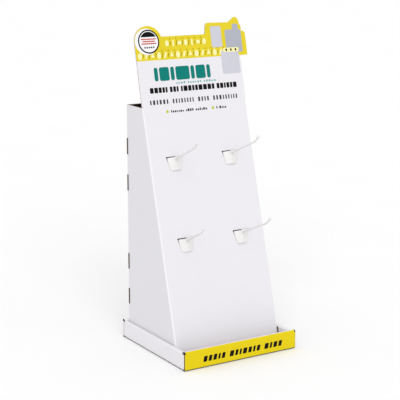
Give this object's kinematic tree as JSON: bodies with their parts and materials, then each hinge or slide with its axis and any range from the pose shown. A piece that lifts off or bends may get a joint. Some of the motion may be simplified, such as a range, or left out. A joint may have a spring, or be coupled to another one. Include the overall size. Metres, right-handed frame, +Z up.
{
  "type": "cardboard peg hook display",
  "caption": "Free-standing countertop display of folded corrugated board: low tray, sloped front with a die-cut header, and moulded peg hooks for hanging packs.",
  "frame": {"origin": "centre of the base tray's underside, on the surface that the display stands on", "axes": "+Z up, -Y towards the lip of the tray and the hooks, +X to the right of someone who faces the display"},
  "size_m": [0.289, 0.268, 0.7012],
  "materials": {
    "white_board": "white-faced corrugated board, printed in flat colours, brown inside and on its cut edges",
    "hook_plastic": "satin, warm white"
  },
  "bodies": {
    "root": {"base_tray": "white_board", "display_body": "white_board", "back_panel": "white_board", "hook_upper_left": "hook_plastic", "hook_upper_right": "hook_plastic", "hook_lower_left": "hook_plastic", "hook_lower_right": "hook_plastic"}
  },
  "joints": []
}
